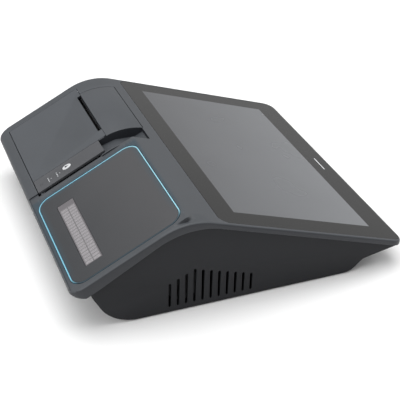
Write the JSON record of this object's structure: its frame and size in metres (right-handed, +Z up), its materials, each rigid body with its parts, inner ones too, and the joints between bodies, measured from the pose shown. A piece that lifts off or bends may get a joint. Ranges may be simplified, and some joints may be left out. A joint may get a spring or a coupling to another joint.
{
  "type": "payment and point-of-sale terminal",
  "caption": "Wedge-shaped desktop terminal: touch screen in front, receipt printer, contactless panel with light ring and customer display on the rear slope.",
  "frame": {"origin": "centre of the footprint, on the surface that the feet stand on", "axes": "+X is the operator's right, -Y the operator's side where the screen slopes down, +Y the customer's side, +Z up"},
  "size_m": [0.303, 0.3136, 0.0957],
  "materials": {
    "shell": "fine moulded texture, satin",
    "housing": "fine moulded texture, dark",
    "screen_glass": "black printed cover glass, glossy",
    "lcd": "unlit display panel",
    "panel": "smoked panel, semi-gloss",
    "light": "translucent light guide",
    "lens": "translucent grey",
    "button": "white key cap",
    "rubber": "moulded rubber",
    "steel": "bright steel",
    "aluminium": "extruded",
    "board": "circuit board with solder mask",
    "inner_plastic": "black moulding",
    "gear_plastic": "natural acetal",
    "paper": "thermal paper",
    "card": "wound card tube"
  },
  "bodies": {
    "root": {"top_shell": "shell", "lower_housing": "housing", "bottom_cover": "housing", "foot_front_left": "rubber", "foot_front_right": "rubber", "foot_rear_left": "rubber", "foot_rear_right": "rubber", "cover_screw_1": "steel", "cover_screw_2": "steel", "cover_screw_3": "steel", "cover_screw_4": "steel", "touch_glass": "screen_glass", "lcd_panel": "lcd", "status_light_bar": "lens", "lcd_bracket": "steel", "contactless_panel": "panel", "light_ring": "light", "display_window": "lens", "character_display": "inner_plastic", "ring_light_board": "board", "antenna_board": "board", "main_board": "board", "heat_sink": "aluminium", "speaker": "inner_plastic", "power_inlet": "inner_plastic", "usb_socket": "inner_plastic", "network_socket": "inner_plastic", "drawer_socket": "inner_plastic", "power_switch": "inner_plastic", "cutter_cover": "shell", "tear_bar": "steel", "printer_frame": "steel", "thermal_head": "aluminium", "head_spring": "steel", "idler_axle": "steel", "feed_motor": "steel", "paper_bucket": "inner_plastic"},
    "lid": {"printer_lid": "shell", "control_strip": "shell", "paper_light": "lens", "error_light": "lens", "hinge_pin_left": "steel", "hinge_pin_right": "steel", "platen_bracket": "steel"},
    "feed_key": {"feed_button": "button"},
    "platen": {"platen_roller": "rubber", "platen_shaft": "steel", "platen_gear": "gear_plastic"},
    "idler": {"idler_gear": "gear_plastic"},
    "pinion": {"motor_pinion": "gear_plastic"},
    "roll": {"paper_roll": "paper", "roll_core": "card"},
    "power_key": {"power_button": "inner_plastic"}
  },
  "joints": [
    {"name": "lid_hinge", "type": "hinge", "parent": "root", "child": "lid", "pos_m": [0.07495, 0.14192, 0.04823], "axis": [-1, 0, 0], "range_deg": [0, 80]},
    {"name": "feed_key_press", "type": "slide", "parent": "lid", "child": "feed_key", "axis": [0, -0.4571, -0.8894], "range_m": [0, 0.0008], "stiffness_N_per_m": 400, "springref_m": -0.001},
    {"name": "platen_spin", "type": "hinge", "parent": "lid", "child": "platen", "pos_m": [0.0833, 0.07638, 0.07494], "axis": [1, 0, 0], "continuous": true},
    {"name": "idler_spin", "type": "hinge", "parent": "root", "child": "idler", "pos_m": [0.0389, 0.07025, 0.05989], "axis": [1, 0, 0], "continuous": true},
    {"name": "pinion_spin", "type": "hinge", "parent": "root", "child": "pinion", "pos_m": [0.0389, 0.05568, 0.05836], "axis": [1, 0, 0], "continuous": true},
    {"name": "roll_spin", "type": "hinge", "parent": "root", "child": "roll", "pos_m": [0.0838, 0.10484, 0.0314], "axis": [1, 0, 0], "continuous": true},
    {"name": "power_key_press", "type": "slide", "parent": "root", "child": "power_key", "axis": [-1, 0, 0], "range_m": [0, 0.001], "stiffness_N_per_m": 400, "springref_m": -0.001}
  ],
  "couplings": [
    {"joint": "idler_spin", "follows": "platen_spin", "ratio": -0.66667},
    {"joint": "pinion_spin", "follows": "platen_spin", "ratio": 1.3333}
  ]
}
